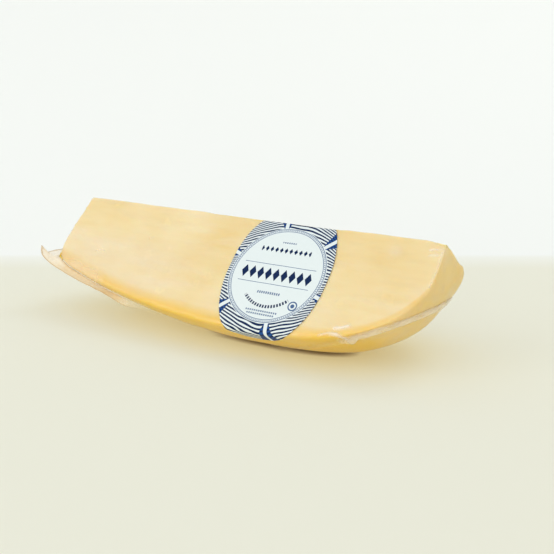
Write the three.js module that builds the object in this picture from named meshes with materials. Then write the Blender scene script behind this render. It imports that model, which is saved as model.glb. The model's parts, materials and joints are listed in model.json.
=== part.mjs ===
// A quarter wedge of barrel-shaped provolone, sealed in clear film.
//
// A whole cheese is a solid of revolution: a barrel with a blunt nose at +X.  It has been cut
// lengthwise in four and once across, at -X.  The quarter lies on its rind with the sharp ridge,
// which was the axis of the barrel, on top.  The front cut face looks towards -Y and leans back.
// Skin-tight film follows the cheese everywhere, so the film and its contents are one solid here.
// A weld seam runs round the pack, and an oval paper label is folded over the ridge.
//
// Millimetres, +Z up.  While it is built, x = 0 is the fattest station of the barrel and y = z = 0
// is its axis.  At the end the whole is moved to stand with the middle of its underside at the origin.

import * as THREE from 'three';

// ------------------------------------------------------------------ driving dimensions

const GIRTH_RADIUS = 76; // axis to rind at the fattest station
const CUT_END_RADIUS = 50; // axis to rind where the barrel was cut across
const TAPER_LENGTH = 159; // fattest station back to the cut end
const NOSE_LENGTH = 114; // fattest station out to the flat of the nose
const NOSE_REACH = 117; // where the curve of the nose would meet the axis
const NOSE_EXPONENT = 2.7; // above 2 makes the nose blunter than an ellipse

const CUT_SLANT = 8; // degrees the cut end is askew, measured on the front face
const CUT_SLANT_PIVOT = 22; // below the ridge, where the slant leaves the cut end in place
const CUT_SLANT_WHOLE = 10; // how far from the cut end the rind takes all of the slant
const CUT_SLANT_REACH = 50; // how far from the cut end the slant still shows in the rind

const WEDGE_ANGLE = 90; // degrees between the two cut faces
const FRONT_LEAN = 42; // degrees from the vertical to the front cut face

const RIDGE_ROUNDING = 2.5;
const BELLY_ROUNDING = 8; // cut face into rind, along the belly
const NOSE_ROUNDING = 3.5; // the same edge where it runs out on the nose
const ROUNDING_CHANGES_FROM = 40; // stations between which the one passes into the other
const ROUNDING_CHANGES_TO = 91;
const CUT_END_ROUNDING = 4;
const NOSE_FLAT_ROUNDING = 3;
const FLAT_SPOT_DEPTH = 1; // how much of the round belly is pressed flat where it rests

const FIT_GAP = 0.3; // between pieces that touch
const LABEL_THICKNESS = 0.5;
const LABEL_HALF_WIDTH = 35;
const LABEL_HALF_HEIGHT = 48.5; // along the skin
const LABEL_EXPONENT = 2.2; // slightly boxier than an ellipse
const LABEL_BELOW_RIDGE = 35.5; // ridge to the middle of the label, along the front face
const LABEL_X = 15.5;

const SEAM_THICKNESS = 0.6;
const SEAM_DEPTH_BELLY = 73; // below the ridge, under the belly
const SEAM_DEPTH_CUT_END = 39;
const SEAM_DEPTH_NOSE = 34;
const SEAM_BEND_TO_CUT_END = 1.5; // 0 for one long arc, larger for two straighter runs with a bend
const SEAM_BEND_TO_NOSE = 4;
const SEAM_WIDTH_BELLY = 3;
const SEAM_WIDTH_SIDE = 5.5;
const SEAM_WIDTH_END = 8; // across the cut end
const SEAM_WIDTH_EAR = 15; // at the two corners of the cut end, where the film is pulled out
const SEAM_NARROWEST_AT = 10;
const SEAM_NARROW_REACH = 30; // either way from there it keeps its narrow width
const SEAM_WIDE_FROM = 70; // and has its full width
const SEAM_FREE_REACH = 47; // how far from the cut end it stands out freely
const SEAM_FOLDED_FROM = 85; // how far from the cut end it starts to lie against the rind
const SEAM_FOLD = 3; // degrees between the folded seam and the rind
const SEAM_RISE_EAR = 42; // degrees above level
const SEAM_RISE_END = 12;

// ------------------------------------------------------------------ mesh detail

const BELLY_STATIONS = 44;
const END_STATIONS = 4;
const RIDGE_STEPS = 3;
const FACE_STEPS = 3;
const EDGE_STEPS = 6;
const RIND_STEPS = 9;
const LABEL_ROWS = 26;
const LABEL_COLUMNS = 10;
const SEAM_STATIONS = 40;
const SEAM_CORNER_STEPS = 5;
const SEAM_END_STEPS = 8;
const CLOSEST_LABEL_ROWS = 0.4; // rows closer than this are left out
const SLOPE_STEP = 0.01; // over which the barrel's slope is measured
const TURNING_POINT_HALVINGS = 40;

const HALF_ANGLE = THREE.MathUtils.degToRad(WEDGE_ANGLE / 2);
const LEAN = THREE.MathUtils.degToRad(FRONT_LEAN);
const TILT = HALF_ANGLE - LEAN; // of the wedge's middle plane, away from the front
const FRONT = 1;
const BACK = -1;

const film = { roughness: 0.25, metalness: 0 };
const CHEESE = new THREE.MeshStandardMaterial({ color: '#f4dda2', ...film });
const PAPER = new THREE.MeshStandardMaterial({ color: '#f0f0ef', roughness: 0.6, metalness: 0 });
const SEAM_FILM = new THREE.MeshStandardMaterial({ color: '#ece2cc', ...film });

// ------------------------------------------------------------------ the cheese as a barrel

function barrelRadius(x) {
  if (x < 0) {
    return GIRTH_RADIUS - (GIRTH_RADIUS - CUT_END_RADIUS) * (x / TAPER_LENGTH) ** 2;
  }
  return GIRTH_RADIUS * (1 - (x / NOSE_REACH) ** NOSE_EXPONENT) ** (1 / NOSE_EXPONENT);
}

function barrelSlope(x) {
  return (barrelRadius(x + SLOPE_STEP) - barrelRadius(x - SLOPE_STEP)) / (2 * SLOPE_STEP);
}

function edgeRounding(x) {
  const towardsNose = THREE.MathUtils.smoothstep(x, ROUNDING_CHANGES_FROM, ROUNDING_CHANGES_TO);
  return THREE.MathUtils.lerp(BELLY_ROUNDING, NOSE_ROUNDING, towardsNose);
}

// ------------------------------------------------------------------ one cross-section

// Half a section, from the ridge down one cut face, round its lower edge and along the rind to the
// middle plane.  Inset moves all three sides inwards, which rounds off the two ends.
function halfSection(x, inset = 0) {
  const rounding = edgeRounding(x);
  const rind = barrelRadius(x) - inset;
  const edgeCentre = rind - rounding;
  const edgeTurn = Math.asin((inset + rounding) / edgeCentre);
  const rindAngle = HALF_ANGLE - edgeTurn;
  const faceStart = (inset + RIDGE_ROUNDING) / Math.tan(HALF_ANGLE);
  const faceEnd = edgeCentre * Math.cos(edgeTurn);
  const lengths = [
    RIDGE_ROUNDING * (Math.PI / 2 - HALF_ANGLE),
    faceEnd - faceStart,
    rounding * (Math.PI / 2 + edgeTurn),
    rind * rindAngle,
  ];
  return { inset, rounding, rind, edgeCentre, rindAngle, faceStart, lengths };
}

// A point of the half section and its outward normal, at a distance along the skin from the ridge.
// The first coordinate runs down the middle plane, the second towards the side.
function pointAlong(section, distance) {
  const [ridge, face, edge] = section.lengths;
  const sideNormal = Math.PI / 2 + HALF_ANGLE;
  if (distance <= ridge) {
    const angle = Math.PI - distance / RIDGE_ROUNDING;
    const centre = (section.inset + RIDGE_ROUNDING) / Math.sin(HALF_ANGLE);
    return arcPoint(centre, 0, RIDGE_ROUNDING, angle);
  }
  if (distance <= ridge + face) {
    const down = section.faceStart + distance - ridge;
    const point = new THREE.Vector2(Math.cos(HALF_ANGLE), Math.sin(HALF_ANGLE)).multiplyScalar(down);
    const normal = new THREE.Vector2(Math.cos(sideNormal), Math.sin(sideNormal));
    return { point: point.addScaledVector(normal, -section.inset), normal };
  }
  if (distance <= ridge + face + edge) {
    const angle = sideNormal - (distance - ridge - face) / section.rounding;
    const across = section.edgeCentre * Math.sin(section.rindAngle);
    const down = section.edgeCentre * Math.cos(section.rindAngle);
    return arcPoint(down, across, section.rounding, angle);
  }
  const angle = section.rindAngle - (distance - ridge - face - edge) / section.rind;
  return arcPoint(0, 0, section.rind, angle);
}

function arcPoint(down, across, radius, angle) {
  const normal = new THREE.Vector2(Math.cos(angle), Math.sin(angle));
  const point = new THREE.Vector2(down, across).addScaledVector(normal, radius);
  return { point, normal };
}

// From the section's own two directions to the leaning wedge in space.
function toSpace(x, pair, side) {
  const down = pair.x;
  const across = pair.y * side;
  const y = down * Math.sin(TILT) - across * Math.cos(TILT);
  const z = -down * Math.cos(TILT) - across * Math.sin(TILT);
  return new THREE.Vector3(x, y, z);
}

// The knife went through a little askew, so the cut end reaches further out low on the front face.
function slantCutEnd(point) {
  const fromCutEnd = point.x + TAPER_LENGTH;
  const share = 1 - THREE.MathUtils.smoothstep(fromCutEnd, CUT_SLANT_WHOLE, CUT_SLANT_REACH);
  const downFace = -point.y * Math.sin(LEAN) - point.z * Math.cos(LEAN);
  const shift = Math.tan(THREE.MathUtils.degToRad(CUT_SLANT)) * (downFace - CUT_SLANT_PIVOT);
  return point.clone().setX(point.x - shift * share);
}

// ------------------------------------------------------------------ meshes from rings of points

function solid(name, points, triangles, material) {
  const geometry = new THREE.BufferGeometry().setFromPoints(points.map(slantCutEnd));
  geometry.setIndex(triangles);
  geometry.computeVertexNormals();
  const mesh = new THREE.Mesh(geometry, material);
  mesh.name = name;
  return mesh;
}

// Two triangles for each cell between ring i and ring i + 1.  Every ring is closed.
function bandTriangles(ringCount, ringSize, closedLoop) {
  const triangles = [];
  const last = closedLoop ? ringCount : ringCount - 1;
  for (let i = 0; i < last; i += 1) {
    for (let j = 0; j < ringSize; j += 1) {
      const next = (j + 1) % ringSize;
      const a = i * ringSize + j;
      const b = i * ringSize + next;
      const c = ((i + 1) % ringCount) * ringSize + next;
      const d = ((i + 1) % ringCount) * ringSize + j;
      triangles.push(a, b, c, a, c, d);
    }
  }
  return triangles;
}

// A fan from a middle point closes a ring.
function capTriangles(firstVertex, ringSize, middleVertex, flip) {
  const triangles = [];
  for (let j = 0; j < ringSize; j += 1) {
    const a = firstVertex + j;
    const b = firstVertex + ((j + 1) % ringSize);
    triangles.push(middleVertex, flip ? b : a, flip ? a : b);
  }
  return triangles;
}

// ------------------------------------------------------------------ wrapped wedge

// Distances along a half section where the mesh has its points.
function sectionDistances(section) {
  const steps = [RIDGE_STEPS, FACE_STEPS, EDGE_STEPS, RIND_STEPS];
  const distances = [0];
  let start = 0;
  section.lengths.forEach((length, part) => {
    for (let k = 1; k <= steps[part]; k += 1) {
      distances.push(start + (length * k) / steps[part]);
    }
    start += length;
  });
  return distances;
}

// One closed ring of skin points: down the front from the ridge, and up the back.
function sectionRing(x, inset) {
  const section = halfSection(x, inset);
  const distances = sectionDistances(section);
  const back = distances.map((d) => toSpace(x, pointAlong(section, d).point, BACK));
  const front = distances.map((d) => toSpace(x, pointAlong(section, d).point, FRONT));
  const ring = [...front, ...back.slice(1, -1).reverse()];
  const floor = FLAT_SPOT_DEPTH - GIRTH_RADIUS;
  ring.forEach((point) => point.setZ(Math.max(point.z, floor)));
  return ring;
}

// Stations from the cut end to the nose.  They crowd where the nose closes in.
function wedgeStations() {
  const stations = [];
  for (let k = 0; k < END_STATIONS; k += 1) {
    const turn = ((Math.PI / 2) * k) / END_STATIONS;
    stations.push({
      x: -TAPER_LENGTH + CUT_END_ROUNDING * (1 - Math.cos(turn)),
      inset: CUT_END_ROUNDING * (1 - Math.sin(turn)),
    });
  }
  const start = CUT_END_ROUNDING - TAPER_LENGTH;
  const end = NOSE_LENGTH - NOSE_FLAT_ROUNDING;
  for (let k = 0; k <= BELLY_STATIONS; k += 1) {
    const share = Math.sin(((Math.PI / 2) * k) / BELLY_STATIONS);
    stations.push({ x: start + (end - start) * share, inset: 0 });
  }
  for (let k = END_STATIONS - 1; k >= 0; k -= 1) {
    const turn = ((Math.PI / 2) * k) / END_STATIONS;
    stations.push({
      x: NOSE_LENGTH - NOSE_FLAT_ROUNDING * (1 - Math.cos(turn)),
      inset: NOSE_FLAT_ROUNDING * (1 - Math.sin(turn)),
    });
  }
  return stations;
}

function middleOf(ring) {
  const sum = ring.reduce((total, point) => total.add(point), new THREE.Vector3());
  return sum.divideScalar(ring.length);
}

function wrappedWedge() {
  const rings = wedgeStations().map(({ x, inset }) => sectionRing(x, inset));
  const ringSize = rings[0].length;
  const vertices = rings.flat();
  const lastRing = vertices.length - ringSize;
  const cutEndMiddle = vertices.length;
  const noseMiddle = cutEndMiddle + 1;
  vertices.push(middleOf(rings[0]), middleOf(rings.at(-1)));
  const triangles = [
    ...bandTriangles(rings.length, ringSize, false),
    ...capTriangles(0, ringSize, cutEndMiddle, true),
    ...capTriangles(lastRing, ringSize, noseMiddle, false),
  ];
  return solid('wrapped_wedge', vertices, triangles, CHEESE);
}

// ------------------------------------------------------------------ label

// A point of the skin, lifted off it, at a signed distance from the ridge: positive down the front.
function skinPoint(x, distance, lift) {
  const { point, normal } = pointAlong(halfSection(x), Math.abs(distance));
  return toSpace(x, point.addScaledVector(normal, lift), distance < 0 ? BACK : FRONT);
}

// Rows across the label, closest where it bends over the ridge and round the lower edge.
function labelRows() {
  const rows = [];
  for (let k = 1; k < LABEL_ROWS; k += 1) {
    rows.push(LABEL_BELOW_RIDGE - LABEL_HALF_HEIGHT * Math.cos((Math.PI * k) / LABEL_ROWS));
  }
  const [ridge, face, edge] = halfSection(LABEL_X).lengths;
  for (let k = -RIDGE_STEPS; k <= RIDGE_STEPS; k += 1) {
    rows.push((ridge * k) / RIDGE_STEPS);
  }
  for (let k = 0; k <= EDGE_STEPS; k += 1) {
    rows.push(ridge + face + (edge * k) / EDGE_STEPS);
  }
  rows.sort((a, b) => a - b);
  return rows.filter((row, k) => k === 0 || row - rows[k - 1] > CLOSEST_LABEL_ROWS);
}

function labelHalfWidth(distance) {
  const share = Math.abs(distance - LABEL_BELOW_RIDGE) / LABEL_HALF_HEIGHT;
  return LABEL_HALF_WIDTH * (1 - share ** LABEL_EXPONENT) ** (1 / LABEL_EXPONENT);
}

function label() {
  const rings = labelRows().map((distance) => {
    const inner = [];
    const outer = [];
    for (let k = 0; k <= LABEL_COLUMNS; k += 1) {
      const x = LABEL_X + labelHalfWidth(distance) * ((2 * k) / LABEL_COLUMNS - 1);
      inner.push(skinPoint(x, distance, FIT_GAP));
      outer.push(skinPoint(x, distance, FIT_GAP + LABEL_THICKNESS));
    }
    return [...inner, ...outer.reverse()];
  });
  const ringSize = rings[0].length;
  const vertices = rings.flat();
  const lastRing = vertices.length - ringSize;
  const triangles = bandTriangles(rings.length, ringSize, false);
  triangles.push(...stripCap(0, ringSize, false), ...stripCap(lastRing, ringSize, true));
  return solid('label', vertices, triangles, PAPER);
}

// Closes a long thin ring whose second half runs back along its first half.
function stripCap(first, ringSize, flip) {
  const triangles = [];
  for (let k = 0; k < ringSize / 2 - 1; k += 1) {
    const a = first + k;
    const b = first + k + 1;
    const c = first + ringSize - 2 - k;
    const d = first + ringSize - 1 - k;
    triangles.push(...(flip ? [a, b, c, a, c, d] : [a, c, b, a, d, c]));
  }
  return triangles;
}

// ------------------------------------------------------------------ weld seam

// How far the seam lies below the ridge: deepest under the belly, and rising to both ends along a
// hyperbola.
function seamDepth(x) {
  const share = x < 0 ? -x / TAPER_LENGTH : x / NOSE_LENGTH;
  const endDepth = x < 0 ? SEAM_DEPTH_CUT_END : SEAM_DEPTH_NOSE;
  const bend = x < 0 ? SEAM_BEND_TO_CUT_END : SEAM_BEND_TO_NOSE;
  const rise = (Math.hypot(1, bend * share) - 1) / (Math.hypot(1, bend) - 1);
  return THREE.MathUtils.lerp(SEAM_DEPTH_BELLY, endDepth, rise);
}

// A point of the rind at the seam's depth, with the outward normal of the barrel there.
function seamOnRind(x, side) {
  const radius = barrelRadius(x);
  const height = -Math.min(seamDepth(x), radius);
  const reach = Math.sqrt(radius ** 2 - height ** 2);
  const point = new THREE.Vector3(x, -side * reach, height);
  const normal = new THREE.Vector3(-barrelSlope(x) * radius, -side * reach, height).normalize();
  return { point, normal };
}

// The station on the nose where the rind is no deeper than the seam: the seam crosses over there.
function seamTurningPoint() {
  let low = 0;
  let high = NOSE_LENGTH;
  for (let k = 0; k < TURNING_POINT_HALVINGS; k += 1) {
    const middle = (low + high) / 2;
    if (barrelRadius(middle) > seamDepth(middle)) {
      low = middle;
    } else {
      high = middle;
    }
  }
  return low;
}

// The seam's route as points and outward normals: along the front, round the nose, back along the
// far side and across the cut end.
function seamRoute() {
  const start = CUT_END_ROUNDING - TAPER_LENGTH;
  const turn = seamTurningPoint();
  const front = [];
  for (let k = 0; k <= SEAM_STATIONS; k += 1) {
    const x = start + (turn - start) * Math.sin(((Math.PI / 2) * k) / SEAM_STATIONS);
    front.push(seamOnRind(x, FRONT));
  }
  const back = [];
  for (let k = SEAM_STATIONS - 1; k >= 0; k -= 1) {
    const x = start + (turn - start) * Math.sin(((Math.PI / 2) * k) / SEAM_STATIONS);
    back.push(seamOnRind(x, BACK));
  }
  return [...front, ...back, ...seamAcrossCutEnd(back.at(-1), front[0])];
}

// From the last point on the far rind, round one corner, across the cut end and round the other.
function seamAcrossCutEnd(from, to) {
  const endNormal = new THREE.Vector3(-1, 0, 0);
  const corner = (station, share) => {
    const normal = station.normal.clone().lerp(endNormal, share).normalize();
    const centre = station.point.clone().addScaledVector(station.normal, -CUT_END_ROUNDING);
    centre.setX(CUT_END_ROUNDING - TAPER_LENGTH);
    return { point: centre.addScaledVector(normal, CUT_END_ROUNDING), normal };
  };
  const route = [];
  for (let k = 1; k <= SEAM_CORNER_STEPS; k += 1) {
    route.push(corner(from, k / SEAM_CORNER_STEPS));
  }
  const entry = route.at(-1).point;
  const exit = corner(to, 1).point;
  for (let k = 1; k <= SEAM_END_STEPS; k += 1) {
    route.push({ point: entry.clone().lerp(exit, k / SEAM_END_STEPS), normal: endNormal });
  }
  for (let k = SEAM_CORNER_STEPS - 1; k >= 1; k -= 1) {
    route.push(corner(to, k / SEAM_CORNER_STEPS));
  }
  return route;
}

// How far the seam has turned from the rind to the cut end: 0 on the rind, 1 across the end.
function turnedToEnd({ point, normal }) {
  if (point.x >= CUT_END_ROUNDING - TAPER_LENGTH) {
    return 0;
  }
  return Math.atan2(-normal.x, Math.hypot(normal.y, normal.z)) / (Math.PI / 2);
}

function seamWidth(x, turned, ear) {
  const away = Math.abs(x - SEAM_NARROWEST_AT);
  const wide = THREE.MathUtils.smoothstep(away, SEAM_NARROW_REACH, SEAM_WIDE_FROM);
  const side = THREE.MathUtils.lerp(SEAM_WIDTH_BELLY, SEAM_WIDTH_SIDE, wide);
  return side + (SEAM_WIDTH_END - SEAM_WIDTH_SIDE) * turned + (SEAM_WIDTH_EAR - SEAM_WIDTH_END) * ear;
}

// A flat strip's four corners.  It is folded down along the skin, and near the cut end it stands out
// level, with its two ears turned up.
function seamSection(station, travel) {
  const { point, normal } = station;
  const turned = turnedToEnd(station);
  const ear = Math.sin(Math.PI * turned) ** 2;
  const width = seamWidth(point.x, turned, ear);
  const fromCutEnd = point.x + TAPER_LENGTH;
  const free = 1 - THREE.MathUtils.smoothstep(fromCutEnd, SEAM_FREE_REACH, SEAM_FOLDED_FROM);

  const fold = THREE.MathUtils.degToRad(SEAM_FOLD);
  const down = travel.clone().cross(normal).normalize();
  const folded = down.multiplyScalar(Math.cos(fold)).addScaledVector(normal, Math.sin(fold));
  const rise = THREE.MathUtils.degToRad(SEAM_RISE_EAR * ear + SEAM_RISE_END * turned);
  const level = normal.clone().setZ(0).normalize();
  const standing = level.multiplyScalar(Math.cos(rise)).setZ(Math.sin(rise));
  const along = folded.lerp(standing, free).normalize();
  const through = along.clone().cross(travel).normalize();

  const root = point.clone().addScaledVector(normal, FIT_GAP + SEAM_THICKNESS * free);
  const corner = (across, thick) => root.clone()
    .addScaledVector(along, across * width)
    .addScaledVector(through, thick * SEAM_THICKNESS);
  return [corner(0, 0), corner(0, 1), corner(1, 1), corner(1, 0)];
}

function filmSeam() {
  const route = seamRoute();
  const rings = route.map((station, k) => {
    const before = route.at(k - 1).point;
    const after = route[(k + 1) % route.length].point;
    return seamSection(station, after.clone().sub(before));
  });
  const triangles = bandTriangles(rings.length, rings[0].length, true);
  return solid('film_seam', rings.flat(), triangles, SEAM_FILM);
}

// ------------------------------------------------------------------ assembly

const pack = new THREE.Group();
pack.add(wrappedWedge(), label(), filmSeam());

const box = new THREE.Box3().setFromObject(pack);
const middle = box.getCenter(new THREE.Vector3());
pack.position.set(-middle.x, -middle.y, -box.min.z);

export default pack;
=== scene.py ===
# %% [markdown]
# # A quarter of a provolone, sealed in clear film
# The whole cheese is barrel-shaped with a blunt nose. It is cut lengthwise in four and once
# across, and each quarter is vacuum-packed. This notebook builds four pieces around the measured
# frame: the cheese, the film that fits it like a skin, the welded seam of the film, and a paper
# label folded over the ridge. Lengths in the cells are millimetres until a point is placed.

# %% Load the frame
import json
import math

import bpy
import numpy as np
from mathutils import Matrix, Vector


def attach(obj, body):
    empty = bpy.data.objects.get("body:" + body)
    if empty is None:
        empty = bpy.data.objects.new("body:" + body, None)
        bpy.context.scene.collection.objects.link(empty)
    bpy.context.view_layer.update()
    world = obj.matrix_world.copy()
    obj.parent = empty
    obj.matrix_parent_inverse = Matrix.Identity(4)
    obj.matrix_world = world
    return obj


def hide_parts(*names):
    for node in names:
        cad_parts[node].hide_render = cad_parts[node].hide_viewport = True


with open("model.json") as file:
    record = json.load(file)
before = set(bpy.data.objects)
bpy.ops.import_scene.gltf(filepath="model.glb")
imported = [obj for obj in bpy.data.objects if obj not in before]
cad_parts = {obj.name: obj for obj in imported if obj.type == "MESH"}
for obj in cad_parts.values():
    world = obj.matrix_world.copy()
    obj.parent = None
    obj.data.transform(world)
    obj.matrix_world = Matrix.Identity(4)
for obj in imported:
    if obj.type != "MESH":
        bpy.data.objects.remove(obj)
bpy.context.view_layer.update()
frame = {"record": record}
rest_place = frame["record"]["mounts"][0]["pos_m"]

# %% [markdown]
# ## Sizes
# These are the driving sizes of the barrel. They repeat the frame's own, because the cheese,
# the film, the seam and the label all follow the same barrel. The barrel's axis is the ridge of
# the quarter, and x = 0 is the barrel's fattest station.

# %% Sizes of the barrel and its quarter
MM = 0.001
GIRTH = 76.0  # axis to rind at the fattest station
CUT_END_GIRTH = 50.5  # axis to rind where the barrel was cut across
TAPER = 160.0  # fattest station back to the cut end
NOSE = 114.0  # fattest station out to the flat of the nose
NOSE_REACH = 117.0  # where the nose's curve would meet the axis
NOSE_POWER = 2.7  # above 2 makes the nose blunter than an ellipse
PRESSED_FLAT = 1.0  # depth of the spot where the soft cheese rests
FRONT_LEAN = math.radians(42)  # from the vertical to the front cut face
BACK_LEAN = math.radians(48)
axis_point = Vector((rest_place[0], rest_place[1], (GIRTH - PRESSED_FLAT) * MM))
front_down = Vector((0, -math.sin(FRONT_LEAN), -math.cos(FRONT_LEAN)))
front_out = Vector((0, -math.cos(FRONT_LEAN), math.sin(FRONT_LEAN)))
back_out = Vector((0, math.cos(BACK_LEAN), math.sin(BACK_LEAN)))
along_x = Vector((1, 0, 0))


def place(x, depth=0.0):
    """A point in metres, from millimetres along the axis and down the front face."""
    return axis_point + along_x * (x * MM) + front_down * (depth * MM)


def barrel_radius(x):
    """Axis to rind, in millimetres, for one station or an array of them."""
    x = np.asarray(x, float)
    taper = GIRTH - (GIRTH - CUT_END_GIRTH) * (x / TAPER) ** 2
    share = np.clip(x / NOSE_REACH, 0, 1) ** NOSE_POWER
    return np.where(x < 0, taper, GIRTH * (1 - share) ** (1 / NOSE_POWER))


print("rind radius at the nose", float(barrel_radius(NOSE)))

# %% [markdown]
# ## Camera
# A long lens from the front right, a little above the cheese. It is placed before anything else,
# so that each piece can be judged from where it will be seen.

# %% Camera
AZIMUTH = math.radians(33.6)
ELEVATION = math.radians(14.3)
DISTANCE = 617.0
AXIS_ABOVE_CENTRE = 35.1  # how far the barrel's axis passes above the middle of the picture
AXIS_RIGHT_OF_CENTRE = 0.6
SENSOR = 36.0
FOCAL_LENGTH = 64.98

look = Vector((-math.sin(AZIMUTH) * math.cos(ELEVATION),
               math.cos(AZIMUTH) * math.cos(ELEVATION), -math.sin(ELEVATION)))
right = look.cross(Vector((0, 0, 1))).normalized()
up = right.cross(look)
stand = axis_point - (right * AXIS_RIGHT_OF_CENTRE + up * AXIS_ABOVE_CENTRE + look * DISTANCE) * MM
bpy.ops.object.camera_add(location=stand, rotation=look.to_track_quat("-Z", "Y").to_euler())
camera = bpy.context.object
camera.data.sensor_width = SENSOR
camera.data.lens = FOCAL_LENGTH
bpy.context.scene.camera = camera
print("camera at", [round(value, 4) for value in stand])

# %% [markdown]
# ## The skin of the wedge
# The barrel is a solid of revolution, so its outline is drawn once and spun through a quarter
# turn. A lathe or spin gives the true rind; a stack of scaled boxes would not. The two cut faces
# are filled, and the cut end is bisected off by a plane that is a little askew, as the knife was.


# %% Draw an outline as a chain of edges
def draw_chain(name, points):
    """A new object whose mesh is one chain of edges through the points, left in edit mode."""
    bpy.ops.object.select_all(action="DESELECT")
    bpy.ops.mesh.primitive_plane_add(size=MM)
    obj = bpy.context.object
    obj.name = name
    bpy.ops.object.mode_set(mode="EDIT")
    bpy.ops.mesh.select_all(action="SELECT")
    bpy.ops.mesh.merge(type="CENTER")
    bpy.ops.transform.translate(value=points[0])
    for here, there in zip(points, points[1:]):
        bpy.ops.mesh.extrude_region_move(TRANSFORM_OT_translate={"value": there - here})
    return obj


OUTLINE_STEPS = 48
PAST_CUT = -170.0  # the outline runs past the cut end, which is bisected off
stations = [PAST_CUT + (NOSE - PAST_CUT) * math.sin(math.pi / 2 * k / OUTLINE_STEPS)
            for k in range(OUTLINE_STEPS + 1)]
outline = [place(PAST_CUT)]
outline += [place(x, float(barrel_radius(x))) for x in stations]
outline += [place(NOSE)]
skin = draw_chain("skin", outline)
skin.update_from_editmode()
print("outline points", len(skin.data.vertices))


# %% Spin it and fill the cut faces
SPIN_STEPS = 36


def select_where(obj, test):
    """Selects the vertices whose place passes the test, and the edges and faces between them."""
    bpy.ops.object.mode_set(mode="EDIT")
    bpy.ops.mesh.select_mode(type="VERT")
    bpy.ops.mesh.select_all(action="DESELECT")
    bpy.ops.object.mode_set(mode="OBJECT")
    for vertex in obj.data.vertices:
        vertex.select = bool(test(vertex.co))
    bpy.ops.object.mode_set(mode="EDIT")


bpy.ops.mesh.select_all(action="SELECT")
bpy.ops.mesh.spin(steps=SPIN_STEPS, angle=-math.pi / 2, center=axis_point, axis=along_x)
bpy.ops.mesh.select_all(action="SELECT")
bpy.ops.mesh.remove_doubles(threshold=0.01 * MM)
NEAR = 0.02 * MM
for outward in (front_out, back_out):
    select_where(skin, lambda co: abs((co - axis_point).dot(outward)) < NEAR)
    bpy.ops.mesh.edge_face_add()
bpy.ops.mesh.select_all(action="SELECT")
bpy.ops.mesh.normals_make_consistent(inside=False)
bpy.ops.object.mode_set(mode="OBJECT")
print("spun faces", len(skin.data.polygons))

# %% Cut the end off askew
CUT_SLANT = math.radians(8)
CUT_PIVOT = 22.0  # down the front face, where the slant leaves the end in place
CUT_AT = -159.0
cut_normal = along_x * math.cos(CUT_SLANT) + front_down * math.sin(CUT_SLANT)
bpy.ops.object.mode_set(mode="EDIT")
bpy.ops.mesh.select_all(action="SELECT")
bpy.ops.mesh.bisect(plane_co=place(CUT_AT, CUT_PIVOT), plane_no=cut_normal, use_fill=True,
                    clear_inner=True)
bpy.ops.object.mode_set(mode="OBJECT")
print("after the cut", [tuple(round(v, 4) for v in corner) for corner in
                        (skin.bound_box[0], skin.bound_box[6])])

# %% [markdown]
# ## Soft edges
# Cheese pressed by a vacuum has no sharp edge: the belly edge is rounded by about 8 mm, the ridge
# by much less. The wedge is remeshed into even small faces and smoothed, and a vertex group says
# how much each edge gives. A bevel would need one width per edge and would tear at the corners.


# %% Helpers for modifiers that are applied at once
GROUP_STEPS = 200  # fine enough that no step shows in a reflection


def shape_with(obj, kind, **settings):
    """Adds a modifier, sets it up and applies it."""
    bpy.ops.object.select_all(action="DESELECT")
    obj.select_set(True)
    bpy.context.view_layer.objects.active = obj
    modifier = obj.modifiers.new(kind.title(), kind)
    for name, value in settings.items():
        setattr(modifier, name, value)
    bpy.ops.object.modifier_apply(modifier=modifier.name)


def points_of(obj):
    """The vertices' places as an array, in metres."""
    places = np.empty(len(obj.data.vertices) * 3, np.float32)
    obj.data.vertices.foreach_get("co", places)
    return places.reshape(-1, 3).astype(float)


def give_group(obj, name, weights):
    """A vertex group with one weight for each vertex."""
    group = obj.vertex_groups.get(name) or obj.vertex_groups.new(name=name)
    levels = np.round(np.clip(weights, 0, 1) * GROUP_STEPS).astype(int)
    for level in np.unique(levels):
        members = np.flatnonzero(levels == level)
        group.add(members.tolist(), float(level) / GROUP_STEPS, "REPLACE")


def fade(value, start, end):
    """0 before start, 1 after end, smooth between, for a number or an array."""
    share = np.clip((value - start) / (end - start), 0, 1)
    return share * share * (3 - 2 * share)


def local_places(obj):
    """Each vertex in millimetres from the barrel's axis: x, down the front face, radius."""
    offset = (points_of(obj) - np.array(axis_point)) / MM
    return offset[:, 0], offset @ np.array(front_down), np.hypot(offset[:, 1], offset[:, 2])


print("points to shape", len(points_of(skin)))

# %% Small even faces, then soft edges
CELL = 1.05  # side of the small faces
BELLY_GIVE, NOSE_GIVE, END_GIVE, RIDGE_GIVE = 1.0, 0.2, 0.25, 0.1
TIGHTER_FROM, TIGHTER_TO = 0.35 * NOSE, 0.8 * NOSE  # the belly edge is tighter round the nose
RIDGE_ZONE = 30.0  # edges this near the axis give as the ridge does
END_ZONE, PAST_END_ZONE = -150, -135  # and those before these stations as the cut end does
SOFTENING_PASSES = 60
shape_with(skin, "REMESH", mode="VOXEL", voxel_size=CELL * MM, use_smooth_shade=True)
x, _, radius = local_places(skin)
edge_give = BELLY_GIVE + (NOSE_GIVE - BELLY_GIVE) * fade(x, TIGHTER_FROM, TIGHTER_TO)
edge_give = np.where(radius < RIDGE_ZONE, RIDGE_GIVE, edge_give)
edge_give = np.minimum(edge_give, END_GIVE + (1 - END_GIVE) * fade(x, END_ZONE, PAST_END_ZONE))
give_group(skin, "give", edge_give)
shape_with(skin, "SMOOTH", factor=0.5, iterations=SOFTENING_PASSES, vertex_group="give")
print("soft skin triangles", 2 * len(skin.data.polygons))

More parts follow.
